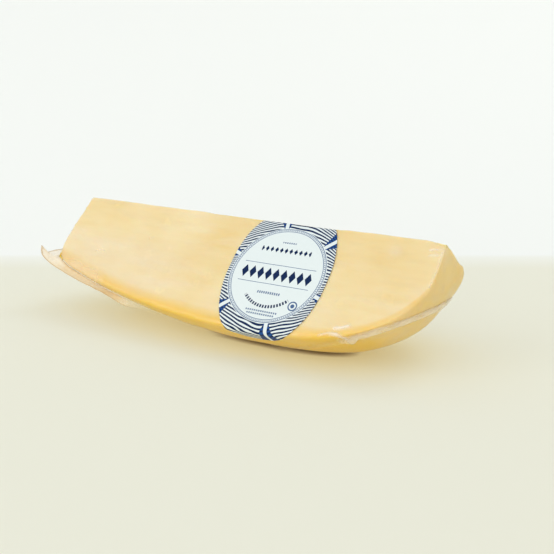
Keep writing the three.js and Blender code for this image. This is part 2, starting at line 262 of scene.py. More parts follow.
# %% [markdown]
# ## Dents and the flat spot
# The faces of a hand-cut quarter are not quite flat. Broad clouds a few tenths of a millimetre
# deep break up the highlights. The ridge is worn a little lower towards the nose, the sharp lower
# corners of the cut end are blunted, the nose bulges on its back side, and the belly sags and is
# pressed flat where it rests. Each is a gentle push along the normals, strongest at one place
# and fading with distance, as a sculpting brush would do it.


# %% Broad dents
def rumple(obj, size, strength, group=None, stretch=None):
    """Moves the surface in and out by soft clouds. Stretch makes them longer one way."""
    texture = bpy.data.textures.new("rumple", "CLOUDS")
    texture.noise_scale = size * MM
    settings = {"texture": texture, "strength": strength * MM, "mid_level": 0.5,
                "texture_coords": "LOCAL"}
    if group:
        settings["vertex_group"] = group
    guide = None
    if stretch:
        bpy.ops.object.empty_add(location=axis_point)
        guide = bpy.context.object
        guide.scale = stretch
        bpy.context.view_layer.update()
        settings["texture_coords"] = "OBJECT"
        settings["texture_coords_object"] = guide
    shape_with(obj, "DISPLACE", **settings)
    bpy.data.textures.remove(texture)
    if guide:
        bpy.data.objects.remove(guide)


rumple(skin, size=38, strength=1.1)
rumple(skin, size=11, strength=0.25)
print("after the dents", points_of(skin).min(0).round(4), points_of(skin).max(0).round(4))


# %% Local pushes
NO_LENGTH = 1e-9  # keeps a path of one point from dividing by nought


def push(obj, path, reach, height):
    """Pushes the surface out along a path of points (mm from the axis), and returns the weights."""
    places = (points_of(obj) - np.array(axis_point)) / MM
    nearest = np.full(len(places), np.inf)
    for start, end in zip(path, path[1:] or path):
        start, line = np.array(start, float), np.subtract(end, start).astype(float)
        share = np.clip((places - start) @ line / max(line @ line, NO_LENGTH), 0, 1)
        away = np.linalg.norm(places - start - share[:, None] * line, axis=1)
        nearest = np.minimum(nearest, away)
    weights = np.exp(-(nearest / reach) ** 2)
    give_group(obj, "push", weights)
    shape_with(obj, "DISPLACE", strength=height * MM, mid_level=0.0, vertex_group="push")
    return weights


push(skin, [(-45, 0, 0), (40, 0, 0)], reach=7, height=-1.0)  # worn ridge
push(skin, [(112, 0, 0), (118, 0, 0)], reach=6, height=-1.6)  # and its blunt end on the nose
push(skin, [(-163, -33, -37)], reach=9, height=-3.0)  # lower corners of the cut end
push(skin, [(-156, 37, -34)], reach=9, height=-3.0)
push(skin, [(112, 25, -25), (108, 31, -38), (104, 31, -45)], reach=10, height=2.3)  # nose's back
push(skin, [(105, 31, -46)], reach=7, height=0.9)
push(skin, [(80, -18, -62), (96, -2, -54)], reach=15, height=1.5)  # and its underside
push(skin, [(35, -4, -75), (60, -8, -70)], reach=16, height=1.6)  # sagging belly
print("belly down to", points_of(skin)[:, 2].min().round(4))

# %% Pressed flat where it rests
select_where(skin, lambda co: co.z < 0)
bpy.ops.transform.resize(value=(1, 1, 0), center_override=(0, 0, 0))
bpy.ops.object.mode_set(mode="OBJECT")
bpy.ops.object.shade_smooth()
print("skin box", points_of(skin).min(0).round(4), points_of(skin).max(0).round(4))

# %% [markdown]
# ## Cheese and film
# A vacuum pack is two things: the cheese, which is soft and waxy, and a clear film that has been
# sucked on to it and so has the very same shape. The film could be a clear coat on the cheese's
# material, but then it could not stand off in pleats of its own. So both come from one shape:
# the cheese is the copy that is drawn in by a quarter of a millimetre, and carries the depth of
# each point under the barrel's rind, from which its material tells rind from paste.


# %% Two copies of the skin
def copy_of(obj, name):
    """A copy with its own mesh."""
    bpy.ops.object.select_all(action="DESELECT")
    obj.select_set(True)
    bpy.context.view_layer.objects.active = obj
    bpy.ops.object.duplicate()
    copied = bpy.context.object
    copied.name = name
    return copied


FILM_GAP = 0.25  # far more than a real film's gap, so that the two never touch
film = copy_of(skin, "film_skin")
cheese = skin
cheese.name = "provolone"
shape_with(cheese, "DISPLACE", strength=-FILM_GAP * MM, mid_level=0.0)
print("cheese faces", len(cheese.data.polygons))

# %% How deep each point of the cheese lies under the rind
# The ripened layer is thinner towards the nose, and palest round the nose itself.
THINNER_FROM, THINNER_TO, THINNER_BY = 20, 90, 0.7
NOSE_FLAT_DEPTH, NOSE_FLAT_RISE = 6.0, 2.2  # on the nose's flat, and what each mm back adds
PALE_FROM, PALE_TO, PALE_DEPTH = 65, 95, 5.5
x, _, radius = local_places(cheese)
rind_depth = barrel_radius(x) - radius
rind_depth *= 1 + THINNER_BY * fade(x, THINNER_FROM, THINNER_TO)
rind_depth = np.minimum(rind_depth, NOSE_FLAT_DEPTH + NOSE_FLAT_RISE * (NOSE - x))
rind_depth = np.maximum(rind_depth, PALE_DEPTH * fade(x, PALE_FROM, PALE_TO))
attribute = cheese.data.attributes.new("rind_depth", "FLOAT", "POINT")
attribute.data.foreach_set("value", rind_depth.astype(np.float32))
push(cheese, [(-89, -16.7, -18.8)], reach=0.9, height=-0.9)  # the one open eye in the paste
print("depths under the rind", rind_depth.min().round(2), rind_depth.max().round(2))

# %% [markdown]
# ## Wrinkles in the film
# A bag pulled tight over a rounded edge has too much film there. It gathers in fine ripples along
# the rind and in a few sharp pleats round the nose, and where it is stretched or folded it turns
# whitish. The ripples are a displacement stretched along the barrel, kept to the rind by a vertex
# group. Each pleat is a narrow push along a short path, and the same weights whiten it; this
# whitening is partly stress-whitening and partly a painted highlight for the glints on the pleats.

# %% Where the pleats run
# Each pleat: its path in millimetres from the axis, its half width, its height, its whiteness
# (stress-whitening and painted glint).
PLEATS = (
    ([(66, -43, -47), (70, -42.5, -46.5), (74, -41, -45)], 0.9, 0.7, 0.9),
    ([(63, -46, -50), (68, -45, -50), (73, -42.5, -51.5), (74, -39, -54.5)], 1.0, 0.9, 0.8),
    ([(74, -39, -54.5), (80, -40, -50.5), (88, -35.5, -48.5)], 0.9, 0.7, 0.7),
    ([(58, -46, -52), (66, -45, -49)], 0.8, 0.5, 0.4),
    ([(112.5, -3, -4), (113.5, -13, -14), (112.5, -20, -22)], 0.9, 0.5, 0.35),
    ([(105, -4, -5), (111, -3, -4)], 0.8, 0.4, 0.5),
    ([(106, -6.5, -7.5), (111, -6, -7)], 0.8, 0.4, 0.4),
    ([(-119, -38, -49), (-117, -36, -53)], 1.2, 0.6, 0.7),
    # a broad soft swell on the face whose whiteness is a painted highlight
    ([(85, -7, -8)], 4.0, 0.25, 0.2),
)
print("pleats", len(PLEATS))

# %% Film ripples and pleats
x, down_front, radius = local_places(film)
RIND_ZONE = 14.0  # depth under the rind at which the ripples have faded out
near_rind = fade(radius - barrel_radius(x), -RIND_ZONE, 0)
give_group(film, "rind", near_rind)
rumple(film, size=9, strength=0.4, group="rind", stretch=(0.5, 2.5, 2.5))
haze = np.zeros(len(x))
for strength, zone in (
        (0.35, near_rind * fade(-x, 104, 120)),  # it stands off the rind near the cut end
        (0.08, near_rind * fade(x, 70, 95)),  # painted reflection: the film round the nose is whitened as if it mirrored the pale floor
        (0.2, (1 - near_rind) * fade(down_front, 15, 40) * fade(-x, 20, 90))):  # slack on the face
    haze = np.maximum(haze, strength * zone)
for path, half_width, height, whiteness_and_painted_glint in PLEATS:
    haze = np.maximum(haze, whiteness_and_painted_glint * push(film, path, half_width, height))
attribute = film.data.attributes.new("haze", "FLOAT", "POINT")
attribute.data.foreach_set("value", haze.astype(np.float32))
print("film points with haze", int((haze > 0.1).sum()))

# %% [markdown]
# ## Weld seam
# The pack is made of two sheets of film, welded together all round the cheese and trimmed to a
# narrow strip. The vacuum folds this strip against the rind, and at the cut end it stands free,
# with a small ear at each corner. It could be cut from the film's own mesh, but a strip laid on a
# route of its own is easier to widen, fold and lift. The route lies on the barrel at a depth below
# the ridge that changes along the pack, goes round the nose, comes back and crosses the cut end.

# %% Seam route
SEAM_BELLY, SEAM_CUT_END, SEAM_NOSE = 73.0, 39.0, 34.0  # depth below the ridge
BEND_TOWARD_CUT, BEND_TOWARD_NOSE = 1.5, 4.0  # 0 is a parabola, higher is straighter
SEAM_STEPS = 150
SLOPE_STEP = 0.01


def seam_depth(x):
    """How far the seam lies below the ridge at a station."""
    share, end, bend = ((x / CUT_AT, SEAM_CUT_END, BEND_TOWARD_CUT) if x < 0
                        else (x / NOSE, SEAM_NOSE, BEND_TOWARD_NOSE))
    rise = (math.hypot(1, bend * share) - 1) / (math.hypot(1, bend) - 1)
    return SEAM_BELLY + (end - SEAM_BELLY) * rise


def seam_point(x, side):
    """A point of the rind at the seam's depth, and the way out of the barrel there."""
    size = float(barrel_radius(x))
    height = -min(seam_depth(x), size)
    reach = math.sqrt(max(size ** 2 - height ** 2, 0))
    slope = float(barrel_radius(x + SLOPE_STEP) - barrel_radius(x - SLOPE_STEP)) / (2 * SLOPE_STEP)
    point = Vector((x, -side * reach, height))
    return point, Vector((-slope * size, -side * reach, height)).normalized()


print("seam depth at the cut end and the nose", seam_depth(CUT_AT), seam_depth(NOSE))

# %% Where the seam turns on the nose
# The two sides meet where the rind has come in to the seam's own depth. Halving finds the station.
TURN_ACCURACY = 0.001
turn_at, beyond = 0.0, NOSE
while beyond - turn_at > TURN_ACCURACY:
    middle = (turn_at + beyond) / 2
    if barrel_radius(middle) > seam_depth(middle):
        turn_at = middle
    else:
        beyond = middle
SEAM_START = -155.0
route = []
for side, steps in ((1, range(SEAM_STEPS + 1)), (-1, range(SEAM_STEPS - 1, -1, -1))):
    for k in steps:
        station = SEAM_START + (turn_at - SEAM_START) * math.sin(math.pi / 2 * k / SEAM_STEPS)
        route.append(seam_point(station, side))
print("seam turns on the nose at", round(turn_at, 2), "points", len(route))

# %% Corners of the cut end
END_CORNER = 4.0
CORNER_STEPS, END_STEPS = 10, 36
SLANT_WHOLE, SLANT_GONE = -149, -109  # stations between which the seam straightens


def corner_of_end(station, share):
    """The seam's way round a corner of the cut end."""
    point, outward = station
    turned = outward.lerp(Vector((-1, 0, 0)), share).normalized()
    centre = point - outward * END_CORNER
    centre.x = SEAM_START
    return centre + turned * END_CORNER, turned


def slanted(point):
    """Follows the askew cut near the cut end."""
    share = 1 - float(fade(point.x, SLANT_WHOLE, SLANT_GONE))
    depth = point.dot(front_down)
    return Vector((point.x - math.tan(CUT_SLANT) * (depth - CUT_PIVOT) * share, point.y, point.z))


first, last = route[0], route[-1]
route += [corner_of_end(last, k / CORNER_STEPS) for k in range(1, CORNER_STEPS + 1)]
entry, exit_point = route[-1][0], corner_of_end(first, 1)[0]
route += [(entry.lerp(exit_point, k / END_STEPS), Vector((-1, 0, 0)))
          for k in range(1, END_STEPS + 1)]
route += [corner_of_end(first, k / CORNER_STEPS) for k in range(CORNER_STEPS - 1, 0, -1)]
print("seam stations", len(route))

# %% Seam widths
BELLY_WIDTH, SEAM_WIDTH, END_WIDTH, EAR_WIDTH = 3.5, 5.5, 8.0, 15.0
EAR_RISE, END_RISE = math.radians(42), math.radians(12)
FOLD = math.radians(3)  # how far the folded strip stands off the rind
FREE_UNTIL, FOLDED_FROM = -112, -74  # stations between which the strip is folded down
NARROWEST_AT, NARROW_REACH, WIDE_FROM = 10, 30, 70  # under the belly, and distances from there
PLEAT_AT, PLEAT_REACH, PLEAT_WIDTH = 74.0, 2.5, 3.5


def seam_width(point, at_end, ear):
    """The strip's width: narrow under the belly, widest at the two ears of the cut end."""
    beside_belly = float(fade(abs(point.x - NARROWEST_AT), NARROW_REACH, WIDE_FROM))
    width = BELLY_WIDTH + (SEAM_WIDTH - BELLY_WIDTH) * beside_belly
    width += (END_WIDTH - SEAM_WIDTH) * at_end + (EAR_WIDTH - END_WIDTH) * ear
    if point.y < 0:
        width += PLEAT_WIDTH * math.exp(-((point.x - PLEAT_AT) / PLEAT_REACH) ** 2)
    return width


print("width under the belly", seam_width(Vector((NARROWEST_AT, 1, 0)), 0, 0))

# %% One row of points across the strip
SEAM_LIFT = 0.5  # the root's height over the barrel, until it is set on the film
ACROSS = 5
MILKY_FROM, MILKY_TO = 64, 76  # the weld is whitish from here to the nose
BELLY_MILKY = 0.12
RIND_FROM, RIND_TO = -162, -146  # past these the free strip has the rind behind it, not the cut


def seam_row(k):
    """The points across the strip at one station, how milky it is, how free, and over the rind."""
    point, outward = route[k]
    travel = route[(k + 1) % len(route)][0] - route[k - 1][0]
    turned = math.atan2(-outward.x, math.hypot(outward.y, outward.z)) if point.x < SEAM_START else 0
    at_end, ear = turned / (math.pi / 2), math.sin(2 * turned) ** 2
    free = 1 - float(fade(point.x, FREE_UNTIL, FOLDED_FROM))
    width = seam_width(point, at_end, ear)
    downward = travel.cross(outward).normalized()
    folded = downward * math.cos(FOLD) + outward * math.sin(FOLD)
    level = Vector((outward.x, outward.y, 0)).normalized()
    rise = EAR_RISE * ear + END_RISE * at_end
    standing = level * math.cos(rise) + Vector((0, 0, 1)) * math.sin(rise)
    reach = folded.lerp(standing, free).normalized()
    root = point + outward * SEAM_LIFT
    row = [axis_point + slanted(root + reach * (width * step / ACROSS)) * MM
           for step in range(ACROSS + 1)]
    milky = max(free, float(fade(point.x, MILKY_FROM, MILKY_TO)), BELLY_MILKY)
    over_rind = free * float(fade(point.x, RIND_FROM, RIND_TO))
    return row, milky, free, over_rind


print("first point of the strip", seam_row(0)[0][0])

# %% [markdown]
# ## The strip itself
# A flat grid has one row of cells for each station of the route, so every vertex can be sent to
# its own place on the strip, and the grid's UV map stays as a ruler along and across the weld.
# A shrinkwrap then sets the root on the film, and the two ends of the grid are merged. A second
# one lifts out what the nose's bulge would bury, but only where the strip is folded down.

# %% Seam strip
row_count = len(route)
bpy.ops.object.select_all(action="DESELECT")
bpy.ops.mesh.primitive_grid_add(x_subdivisions=row_count, y_subdivisions=ACROSS, size=1)
seam = bpy.context.object
seam.name = "film_seam_strip"
rows = [seam_row(k) for k in range(row_count)]
milky, loose, tinted, is_root = [], [], [], []
for vertex in seam.data.vertices:
    row, haze, free, over_rind = rows[round((vertex.co.x + 0.5) * row_count) % row_count]
    step = round((vertex.co.y + 0.5) * ACROSS)
    vertex.co = row[step]
    milky.append(haze)
    loose.append(free)
    tinted.append(over_rind)
    is_root.append(step == 0)
for name, values in (("haze", milky), ("loose", loose), ("over_rind", tinted)):
    attribute = seam.data.attributes.new(name, "FLOAT", "POINT")
    attribute.data.foreach_set("value", values)
give_group(seam, "root", np.array(is_root, float))
give_group(seam, "folded", 1 - np.array(loose))
print("seam strip points", len(seam.data.vertices))

# %% Seam set on the film
OVER_FILM = 0.25 * MM
FILM_THICKNESS = 0.2 * MM  # two real films together
shape_with(seam, "SHRINKWRAP", target=film, wrap_method="NEAREST_SURFACEPOINT",
           wrap_mode="ABOVE_SURFACE", offset=OVER_FILM, vertex_group="root")
bpy.ops.object.mode_set(mode="EDIT")
bpy.ops.mesh.select_all(action="SELECT")
bpy.ops.mesh.remove_doubles(threshold=0.01 * MM)
bpy.ops.mesh.normals_make_consistent(inside=False)
bpy.ops.object.mode_set(mode="OBJECT")
shape_with(seam, "SUBSURF", levels=1, render_levels=1)
rumple(seam, size=5, strength=0.8)
shape_with(seam, "SHRINKWRAP", target=film, wrap_method="NEAREST_SURFACEPOINT",
           wrap_mode="OUTSIDE", offset=OVER_FILM, vertex_group="folded")
shape_with(seam, "SOLIDIFY", thickness=FILM_THICKNESS, offset=0.0)
bpy.ops.object.shade_smooth()
print("seam faces", len(seam.data.polygons), "box", points_of(seam).min(0).round(4),
      points_of(seam).max(0).round(4))

# %% [markdown]
# ## Label
# The label is a sticker of coated paper, an oval of 70 by 97 mm, stuck on the film over the ridge
# and round the belly edge. It could be a coloured patch in the film's material, but paper has an
# edge and a thickness that catch the light. It is made as a hand would: a flat square has its
# corners rounded into an oval, is sliced into small cells so that it can bend, takes its print
# map while it is still flat, and is then folded twice and pressed on to the film.

# %% Flat oval
LABEL_HALF_WIDTH, LABEL_HALF_HEIGHT = 35.0, 48.5
LABEL_X, LABEL_MIDDLE = 15.5, 35.5  # along the ridge, and down the front face
OVAL_PROFILE = 0.5325  # slightly boxier than an ellipse
LABEL_CELL = 1.0
bpy.ops.object.select_all(action="DESELECT")
bpy.ops.mesh.primitive_plane_add(size=2)
label = bpy.context.object
label.name = "paper_label"
bpy.ops.object.mode_set(mode="EDIT")
bpy.ops.mesh.select_all(action="SELECT")
bpy.ops.mesh.bevel(offset=0.9999, segments=40, profile=OVAL_PROFILE, affect="VERTICES")
bpy.ops.mesh.select_all(action="SELECT")
bpy.ops.transform.resize(value=(LABEL_HALF_WIDTH * MM, LABEL_HALF_HEIGHT * MM, 1))
bpy.ops.mesh.remove_doubles(threshold=0.02 * MM)
for half, direction in ((LABEL_HALF_WIDTH, Vector((1, 0, 0))),
                        (LABEL_HALF_HEIGHT, Vector((0, 1, 0)))):
    count = int(half / LABEL_CELL)
    for k in range(-count, count + 1):
        bpy.ops.mesh.select_all(action="SELECT")
        bpy.ops.mesh.bisect(plane_co=direction * (k * LABEL_CELL * MM), plane_no=direction)
bpy.ops.object.mode_set(mode="OBJECT")
print("label faces", len(label.data.polygons), "size", label.dimensions)

# %% Print map, and laid on the front face
RING_MIDDLE = 36.9  # down the front face, a little lower than the oval's own middle
uv = label.data.uv_layers.new(name="print_mm")
for loop in label.data.loops:
    co = label.data.vertices[loop.vertex_index].co / MM
    uv.data[loop.index].uv = (co.x, co.y + RING_MIDDLE - LABEL_MIDDLE)
to_face = Matrix((along_x, -front_down, front_out)).transposed().to_4x4()
label.matrix_world = Matrix.Translation(place(LABEL_X, LABEL_MIDDLE)) @ to_face
bpy.ops.object.transform_apply(location=True, rotation=True, scale=True)
print("label box", points_of(label).min(0).round(4), points_of(label).max(0).round(4))

# %% Folded over the ridge and round the belly
BELLY_FOLD = 74.0  # down the front face; the rounding of the edge takes up the rest
JUST_PAST = 0.1 * MM
for fold_at, side in ((0.0, -1), (BELLY_FOLD, 1)):
    hinge = place(0, fold_at)
    select_where(label, lambda co: (co - hinge).dot(front_down) * side > JUST_PAST)
    bpy.ops.transform.rotate(value=-side * math.pi / 2, orient_axis="X", center_override=hinge)
    bpy.ops.object.mode_set(mode="OBJECT")
    print("folded", points_of(label).min(0).round(4), points_of(label).max(0).round(4))

# %% Pressed on to the film
GLUE_GAP, PAPER = 0.2 * MM, 0.12 * MM
for press in range(2):
    shape_with(label, "SHRINKWRAP", target=film, wrap_method="NEAREST_SURFACEPOINT",
               wrap_mode="ABOVE_SURFACE", offset=GLUE_GAP)
    if press == 0:
        shape_with(label, "SMOOTH", factor=0.5, iterations=3)
shape_with(label, "SOLIDIFY", thickness=PAPER, offset=1.0)
bpy.ops.object.shade_smooth_by_angle(angle=math.radians(40))
print("label box", points_of(label).min(0).round(4), points_of(label).max(0).round(4))

# %% [markdown]
# ## Materials: helpers
# Colours are given as hex values and turned to linear light by one function. Another adds a
# node, sets it up and links it, and three more stand for the kinds of node that come most often,
# so that a material reads as a list of its steps. The sizes of grain and ripples are known in
# millimetres, and one more function turns them into the Scale of a pattern in metres.

# %% Colour and node helpers


def from_hex(text):
    """An sRGB hex colour as linear red, green, blue and alpha."""
    channels = [int(text[k:k + 2], 16) / 255 for k in (1, 3, 5)]
    return (*[c / 12.92 if c <= 0.04045 else ((c + 0.055) / 1.055) ** 2.4 for c in channels], 1)


def add(tree, kind, inputs=None, **settings):
    """Adds one node, sets it up, and fills or links its inputs."""
    made = tree.nodes.new("ShaderNode" + kind)
    for name, value in settings.items():
        setattr(made, name, value)
    for name, value in (inputs or {}).items():
        if isinstance(value, bpy.types.Node):
            value = value.outputs[0]
        if isinstance(value, bpy.types.NodeSocket):
            tree.links.new(value, made.inputs[name])
        else:
            made.inputs[name].default_value = value
    return made


def calc(tree, operation, *values, **settings):
    """One step of arithmetic on numbers and other nodes' results."""
    return add(tree, "Math", dict(enumerate(values)), operation=operation, **settings)


def remap(tree, value, start=0.0, end=1.0, low=0.0, high=1.0):
    """Low where a value is at the start or before it, high at the end or past it."""
    return add(tree, "MapRange", {"Value": value, "From Min": start, "From Max": end,
                                  "To Min": low, "To Max": high})


def blend(tree, share, first, second):
    """The first colour, or as much of the second as the share says."""
    mix = add(tree, "Mix", {"Factor": share, "A": first, "B": second}, data_type="RGBA")
    return mix.outputs["Result"]


def every(size):
    """The Scale that repeats a pattern about once in so many millimetres."""
    return 1 / (size * MM)


def new_material(name):
    """An empty material and its node tree."""
    material = bpy.data.materials.new(name)
    material.use_nodes = True
    material.node_tree.nodes.clear()
    return material, material.node_tree


def finish(material, piece):
    """Gives a piece its one material."""
    piece.data.materials.clear()
    piece.data.materials.append(material)
    print(piece.name, "wears", material.name, "of", len(material.node_tree.nodes), "nodes")


print("white in linear light", from_hex("#FFFFFF"), "and a 45 mm pattern's scale", every(45))

# %% [markdown]
# ## Provolone, cut and rind
# Provolone is a stretched-curd cheese: the paste is smooth, pale yellow and close-textured, with
# faint smears along the way the curd was pulled. Towards the rind it ripens and dries to a deeper,
# more golden yellow, without a sharp line between the two. Cheese lets light in a few millimetres
# before it comes out again, which softens its shadows, so it has subsurface scattering. The knife
# leaves it satin, never shiny. The smears are one noise stretched along x, and the change to rind
# follows the depth that each point carries.

# %% Cheese material
paste, tree = new_material("provolone_smooth_cut_and_waxed_rind")
place_on = add(tree, "TexCoord").outputs["Object"]
depth = add(tree, "Attribute", attribute_name="rind_depth").outputs["Fac"]
rind_share = remap(tree, depth, start=10.0, end=3.5)
broad = add(tree, "TexNoise", {"Vector": place_on, "Scale": every(45), "Detail": 3.0})
smeared_on = add(tree, "Mapping", {"Vector": place_on, "Scale": (every(25), every(6.25), every(6.25))})
smears = add(tree, "TexNoise", {"Vector": smeared_on, "Scale": 1.0, "Detail": 5.0})
mottle = add(tree, "Mix", {"Factor": 0.35, "A": broad, "B": smears}).outputs["Result"]
mottle = remap(tree, mottle, start=0.25, end=0.75)
body = blend(tree, mottle, from_hex("#E8CB84"), from_hex("#F2E1B3"))
tint = blend(tree, rind_share, body, from_hex("#EBC243"))
uneven = remap(tree, smears, low=0.36, high=0.56)
bump = add(tree, "Bump", {"Height": smears, "Strength": 0.25, "Distance": 0.4 * MM})
shader = add(tree, "BsdfPrincipled", {
    "Base Color": tint, "Roughness": uneven, "IOR": 1.45,
    "Subsurface Weight": 0.35, "Subsurface Radius": (1.0, 0.6, 0.25), "Subsurface Scale": 4 * MM,
    "Normal": bump})
add(tree, "OutputMaterial", {"Surface": shader})
finish(paste, cheese)

# %% [markdown]
# ## Clear vacuum film
# The film is a polyamide and polyethylene laminate, blown and then sucked flat, about a tenth of
# a millimetre thick. It has no colour of its own: what the eye gets is a soft gloss that grows
# towards the rim, broken up by ripples of a few millimetres, and milky lines where it is creased.
# A glass shader would bend the cheese behind it and cost much time, so clear air is mixed with a
# gloss by the facing angle, and with a milky plastic by the haze that each point carries. Part of
# that haze is painted light: a painted highlight on the pleats and a painted reflection round the
# nose.

# %% Film material
clear, tree = new_material("clear_vacuum_film_glossy")
place_on = add(tree, "TexCoord").outputs["Object"]
facing = add(tree, "LayerWeight", {"Blend": 0.5}).outputs["Facing"]
steep = calc(tree, "POWER", facing, 4.0)
mirror = remap(tree, steep, low=0.05, high=0.22)
clouds = add(tree, "TexNoise", {"Vector": place_on, "Scale": every(17), "Detail": 3.0})
rough = remap(tree, clouds, start=0.3, end=0.7, low=0.26, high=0.42)
ripples = add(tree, "TexNoise", {"Vector": place_on, "Scale": every(3.8), "Detail": 2.0})
uneven = add(tree, "Bump", {"Height": ripples, "Strength": 0.3, "Distance": 0.3 * MM})
gloss = add(tree, "BsdfGlossy", {"Color": (1, 1, 1, 1), "Roughness": rough, "Normal": uneven})
open_air = add(tree, "BsdfTransparent", {"Color": (1, 1, 1, 1)})
tight = add(tree, "MixShader", {0: mirror, 1: open_air, 2: gloss})
milk = add(tree, "BsdfPrincipled", {"Base Color": from_hex("#FFFDF6"), "Roughness": 0.25})
streaked_on = add(tree, "Mapping", {"Vector": place_on, "Scale": (every(40), every(9), every(9))})
streaks = add(tree, "TexNoise", {"Vector": streaked_on, "Scale": 1.0, "Detail": 3.0})
thin_haze = remap(tree, streaks, start=0.45, end=0.75, high=0.12)
# haze per point: stress-whitening and slack film, plus painted glints on pleats and a painted
# reflection round the nose
stress_whitening_and_painted_glint = add(tree, "Attribute", attribute_name="haze").outputs["Fac"]
milky = calc(tree, "MULTIPLY_ADD", stress_whitening_and_painted_glint, 0.75, thin_haze, use_clamp=True)
mixed = add(tree, "MixShader", {0: milky, 1: tight, 2: milk})
add(tree, "OutputMaterial", {"Surface": mixed})
finish(clear, film)

# %% [markdown]
# ## Welded film
# In the weld two films are melted together under a ribbed bar, which leaves fine cross ribs and a
# patchy whitish haze. The trimmed edge and the line of the root are thicker, and look darker. It
# shows mostly where the strip stands free, and hardly at all along the belly, where it lies flat.
# The ribs are a sine along the strip's own UV map, drawn 1.5 mm apart so that they can be seen.

# %% Seam material: where its edges are
weld, tree = new_material("welded_film_hazy")
strip = add(tree, "UVMap", uv_map="UVMap").outputs["UV"]
split = add(tree, "SeparateXYZ", {0: strip})
along, across = split.outputs["X"], split.outputs["Y"]
outer_line = remap(tree, across, start=0.8, end=0.95)
root_line = remap(tree, across, start=0.12, end=0.0)
loose = add(tree, "Attribute", attribute_name="loose").outputs["Fac"]
root_edge = calc(tree, "MULTIPLY", root_line, remap(tree, loose, high=0.3))
outer_edge = calc(tree, "MULTIPLY", outer_line, remap(tree, loose, low=0.15, high=0.9))
edges = calc(tree, "MAXIMUM", outer_edge, root_edge)
print("nodes for the strip's edges", len(tree.nodes))

# %% Seam material: ribs, tint and haze
SEAM_LENGTH = 600.0  # once round the pack
RIB_PITCH = 1.5  # the welding bar's ribs
ribs = calc(tree, "SINE", calc(tree, "MULTIPLY", along, 2 * math.pi * SEAM_LENGTH / RIB_PITCH))
clouds = add(tree, "TexNoise", {"Vector": add(tree, "TexCoord").outputs["Object"],
                                "Scale": every(6.7), "Detail": 3.0})
relief = calc(tree, "MULTIPLY_ADD", ribs, 0.3, clouds)
bump = add(tree, "Bump", {"Height": relief, "Strength": 0.4, "Distance": 0.3 * MM})
over_rind = add(tree, "Attribute", attribute_name="over_rind").outputs["Fac"]
film_tint = blend(tree, over_rind, from_hex("#FFF3DC"), from_hex("#FFEBC2"))
film_tint = blend(tree, edges, film_tint, from_hex("#DABB84"))
rough = remap(tree, clouds, low=0.2, high=0.45)
welded = add(tree, "BsdfPrincipled", {"Base Color": film_tint, "Roughness": rough, "Normal": bump})
haze = add(tree, "Attribute", attribute_name="haze").outputs["Fac"]
patchy = remap(tree, clouds, start=0.3, end=0.7, low=0.25, high=0.5)
solid_share = calc(tree, "MULTIPLY_ADD", edges, 0.25, patchy)
solid_share = calc(tree, "MULTIPLY_ADD", over_rind, 0.2, solid_share)
solid_share = calc(tree, "MULTIPLY", solid_share, haze)
from_root = calc(tree, "MAXIMUM", remap(tree, across, end=0.35, low=0.2), loose)
solid_share = calc(tree, "MULTIPLY", solid_share, from_root)
mixed = add(tree, "MixShader", {0: solid_share, 1: add(tree, "BsdfTransparent"), 2: welded})
add(tree, "OutputMaterial", {"Surface": mixed})
finish(weld, seam)

# %% [markdown]
# ## Coated label paper
# Smooth coated paper, printed in navy and two paler blues. It is flat white with a slight sheen,
# and the eye finds it by its crisp edge and its print. The print is worked out from shapes in the
# material, on the map in millimetres that the label took while it was flat: a ring, rows of plain
# diamonds and dashes inside it, and round it a border of wavy stripes with six pale spokes. An
# image could do this too, but shapes from formulas stay sharp at any distance. No writing is on it.

# %% Label print: sizes
RING = 31.9  # radius of the outer ring line; the print is measured from the ring's middle
INK_NAVY, INK_BLUE, INK_GREY = from_hex("#06234F"), from_hex("#1E5096"), from_hex("#4C6690")
PAPER_WHITE = from_hex("#E0EAEB")
STRIPE_PITCH = 2.5
STRIPES_CURL = 1 / 60  # how fast the stripes turn up and down away from the middle
STRIPES_CURL_FROM = 40.0  # height at which they have their whole curl
SECTOR = math.radians(60)  # from one pale spoke to the next
FIRST_GAP = math.radians(42)  # direction of the first
GAP_HALF = 1.2  # half the width of a pale spoke
TIP_SPREAD = 0.42  # how fast the solid blue beside a spoke widens outwards
BORDER_GAP = 0.7  # bare paper between the ring and the border
# Bars across the ring: half width, height above its middle, half thickness.
SMALL_ROWS = ((8.2, -12.9, 0.8), (11.6, -25.0, 0.55), (9.8, -27.0, 0.55), (4.7, 21.9, 0.5))
RULES = ((25.2, 6.15, 0.17), (25.0, -6.95, 0.17))
SEAL = (19.3, -18.6, 0)  # middle of the small ring with a dot
print("stripes from ring to tip", round((LABEL_HALF_HEIGHT - RING) / STRIPE_PITCH, 1))

# %% Label print: the map and what masks are made of
paper, tree = new_material("coated_label_paper_printed")
flat = add(tree, "UVMap", uv_map="print_mm").outputs["UV"]
split = add(tree, "SeparateXYZ", {0: flat})
u, v = split.outputs["X"], split.outputs["Y"]
radius_out = add(tree, "VectorMath", {0: flat}, operation="LENGTH").outputs["Value"]
turn = calc(tree, "ARCTAN2", v, u)


def combine(tree, operation, masks):
    """Folds several masks into one, by MAXIMUM to join them or MULTIPLY to cut one by another."""
    result = masks[0]
    for mask in masks[1:]:
        result = calc(tree, operation, result, mask)
    return result


def near(tree, value, middle, half):
    """1 where a value is within half a width of its middle, 0 elsewhere."""
    return calc(tree, "COMPARE", value, middle, half)


def bar(tree, half_u, middle_v, half_v):
    """A printed bar: 1 inside the box, 0 outside."""
    return combine(tree, "MULTIPLY", [near(tree, u, 0, half_u), near(tree, v, middle_v, half_v)])


